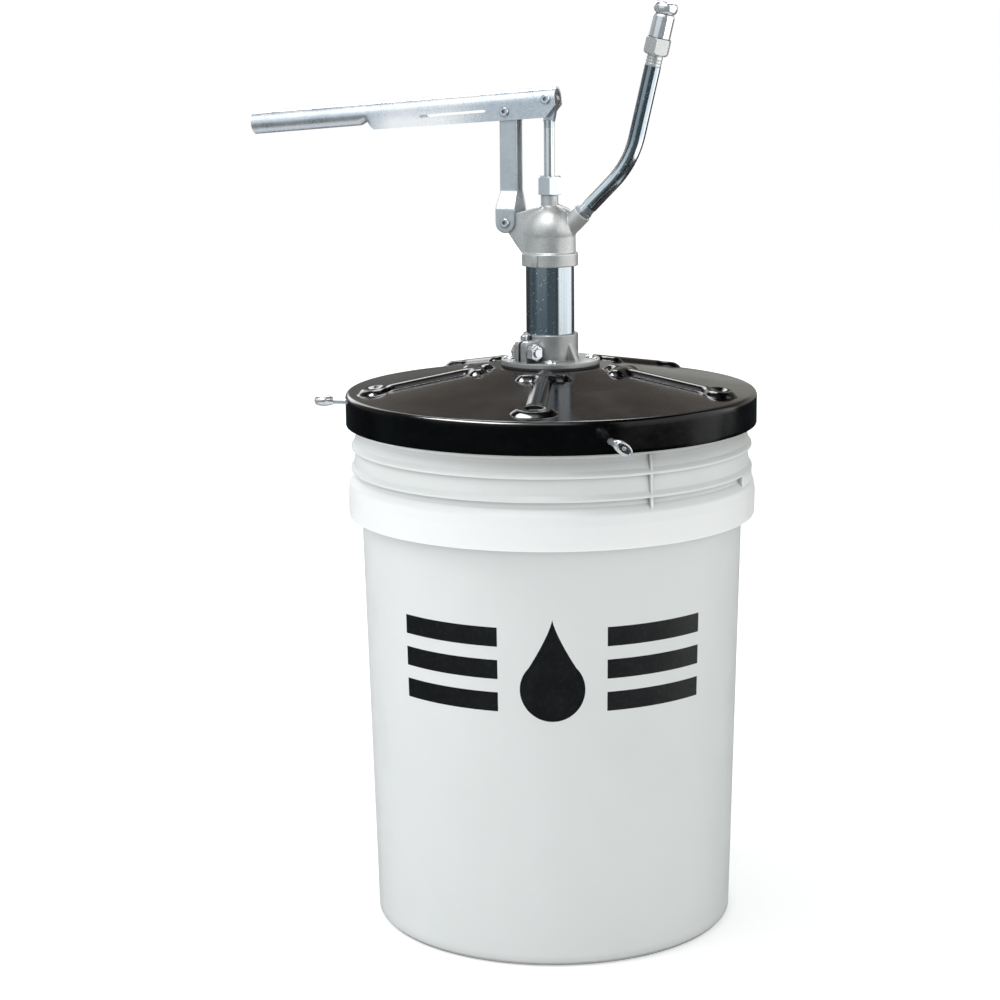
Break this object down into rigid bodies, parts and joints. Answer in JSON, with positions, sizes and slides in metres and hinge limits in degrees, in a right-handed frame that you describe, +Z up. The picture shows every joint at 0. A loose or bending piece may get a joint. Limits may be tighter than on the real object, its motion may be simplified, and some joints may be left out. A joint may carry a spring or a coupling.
{
  "type": "lever-action pail pump",
  "caption": "Hand-lever piston pump on a black pressed cover, clamped to a white plastic pail, with a bent outlet pipe and coupler.",
  "frame": {"origin": "centre of the pail's underside, on the floor", "axes": "+Z up along the pail and pump tube; the lever lies in the XZ plane with its handle towards -X and the outlet towards +X"},
  "size_m": [0.3806, 0.3152, 0.6633],
  "materials": {
    "pail": "translucent white moulded plastic, satin",
    "cover": "gloss black enamel on pressed steel",
    "rubber": "matt",
    "packing": "greased braid",
    "zinc": "bright zinc plate",
    "zinc_screw": "bright zinc plate",
    "casting": "die cast, blasted",
    "tube": "bright drawn steel",
    "outlet_tube": "bright drawn steel",
    "chrome": "polished plate",
    "rod": "ground and polished",
    "link": "zinc plate, satin",
    "lever": "bright zinc plate",
    "aluminium": "machined",
    "brass": "machined",
    "steel_ball": "polished",
    "strainer": "stamped"
  },
  "bodies": {
    "pail": {"pail": "pail"},
    "cover": {"cover": "cover", "cover_gasket": "rubber", "weld_nuts": "zinc", "flange": "casting", "flange_gasket": "rubber", "flange_screws": "zinc_screw", "flange_nuts": "zinc", "clamp_bolt": "zinc_screw", "clamp_nut": "zinc_screw", "clamp_washer": "zinc", "lug_screw": "zinc_screw"},
    "thumbscrew_a": {"thumbscrew_a": "zinc_screw"},
    "thumbscrew_b": {"thumbscrew_b": "zinc_screw"},
    "thumbscrew_c": {"thumbscrew_c": "zinc_screw"},
    "pump": {"pump_tube": "tube", "head": "casting", "head_gasket": "rubber", "packing_rings": "packing", "packing_sleeve": "brass", "packing_nut": "zinc", "outlet_seat": "brass", "outlet_fitting": "zinc", "outlet_tube": "outlet_tube", "coupler_ferrule": "zinc", "coupler_nut": "zinc", "coupler_body": "chrome", "coupler_lip": "chrome", "foot_body": "aluminium", "ball_stop": "zinc", "strainer": "strainer"},
    "link": {"link": "link", "link_pin": "zinc", "link_clip": "zinc"},
    "lever": {"lever": "lever", "fulcrum_pin": "zinc", "rod_pin": "zinc", "fulcrum_clip": "zinc", "rod_clip": "zinc", "rod_spacers": "zinc"},
    "rod": {"rod_eye": "zinc", "piston_rod": "rod", "piston_body": "aluminium", "piston_cup": "rubber", "piston_nut": "zinc", "disc_stop": "zinc"},
    "transfer_disc": {"transfer_disc": "brass"},
    "foot_ball": {"foot_ball": "steel_ball"},
    "outlet_ball": {"outlet_ball": "steel_ball"}
  },
  "joints": [
    {"name": "cover_lift", "type": "slide", "parent": "pail", "child": "cover", "axis": [0, 0, 1], "range_m": [0, 0.42]},
    {"name": "tube_height", "type": "slide", "parent": "cover", "child": "pump", "axis": [0, 0, 1], "range_m": [0, 0.12]},
    {"name": "link_swing", "type": "hinge", "parent": "pump", "child": "link", "pos_m": [-0.0296, 0, 0.5093], "axis": [0, 1, 0], "range_deg": [0, 2.7]},
    {"name": "lever_swing", "type": "hinge", "parent": "link", "child": "lever", "pos_m": [-0.031, 0, 0.5875], "axis": [0, 1, 0], "range_deg": [0, 45]},
    {"name": "rod_stroke", "type": "slide", "parent": "pump", "child": "rod", "axis": [0, 0, 1], "range_m": [-0.026, 0]},
    {"name": "transfer_valve", "type": "slide", "parent": "rod", "child": "transfer_disc", "axis": [0, 0, 1], "range_m": [0, 0.002]},
    {"name": "foot_valve", "type": "slide", "parent": "pump", "child": "foot_ball", "axis": [0, 0, 1], "range_m": [0, 0.003]},
    {"name": "outlet_valve", "type": "slide", "parent": "pump", "child": "outlet_ball", "axis": [0.7071, 0, 0.7071], "range_m": [0, 0.0012]},
    {"name": "thumbscrew_a_out", "type": "slide", "parent": "cover", "child": "thumbscrew_a", "axis": [0.5807, -0.8141, 0], "range_m": [0, 0.008]},
    {"name": "thumbscrew_b_out", "type": "slide", "parent": "cover", "child": "thumbscrew_b", "axis": [0.4147, 0.91, 0], "range_m": [0, 0.008]},
    {"name": "thumbscrew_c_out", "type": "slide", "parent": "cover", "child": "thumbscrew_c", "axis": [-0.9954, -0.0958, 0], "range_m": [0, 0.008]}
  ],
  "couplings": [
    {"joint": "link_swing", "follows": "lever_swing", "ratio": 0.05881},
    {"joint": "rod_stroke", "follows": "lever_swing", "m_per_rad": -0.032849}
  ]
}
